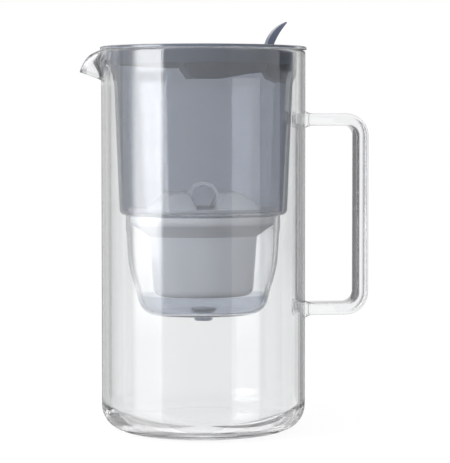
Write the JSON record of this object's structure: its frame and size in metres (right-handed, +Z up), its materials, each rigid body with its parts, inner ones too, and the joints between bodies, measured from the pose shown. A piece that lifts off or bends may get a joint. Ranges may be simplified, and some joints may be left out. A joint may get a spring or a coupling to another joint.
{
  "type": "water filter pitcher",
  "caption": "Clear glass jug with a handle and pouring beak, holding a tinted hopper with a filter cartridge in its pocket, under a grey lid with a lever-worked fill flap.",
  "frame": {"origin": "middle of the jug's flat foot, on the surface it stands on", "axes": "+Z up along the jug's axis, +X towards the handle, the pouring beak at -X"},
  "size_m": [0.1988, 0.1416, 0.28],
  "materials": {
    "clear_glass": "clear, fire-polished",
    "tinted_plastic": "clear with a grey tint, gloss",
    "nozzle_plastic": "clear with a grey tint, gloss",
    "milky_plastic": "milky, satin",
    "seal_rubber": "soft, matte",
    "mesh_plastic": "woven screen",
    "granules": "granular",
    "lid_plastic": "gloss",
    "lever_plastic": "gloss",
    "pin_plastic": "smooth"
  },
  "bodies": {
    "jug": {"glass_jug": "clear_glass", "glass_handle": "clear_glass"},
    "hopper": {"hopper": "tinted_plastic", "drip_nozzle": "nozzle_plastic"},
    "cartridge": {"cartridge_cup": "milky_plastic", "cartridge_cap": "milky_plastic", "cartridge_seal": "seal_rubber", "inlet_mesh": "mesh_plastic", "outlet_mesh": "mesh_plastic", "filter_granules": "granules"},
    "lid": {"lid": "lid_plastic", "hinge_pin": "pin_plastic"},
    "flap": {"fill_flap": "lid_plastic", "thumb_lever": "lever_plastic"}
  },
  "joints": [
    {"name": "hopper_lift", "type": "slide", "parent": "jug", "child": "hopper", "axis": [0, 0, 1], "range_m": [0, 0.195]},
    {"name": "cartridge_lift", "type": "slide", "parent": "hopper", "child": "cartridge", "axis": [0, 0, 1], "range_m": [0, 0.06]},
    {"name": "lid_lift", "type": "slide", "parent": "hopper", "child": "lid", "axis": [0, 0, 1], "range_m": [0, 0.04]},
    {"name": "flap_hinge", "type": "hinge", "parent": "lid", "child": "flap", "pos_m": [0.0496, 0, 0.2478], "axis": [0, 1, 0], "range_deg": [0, 34]}
  ]
}
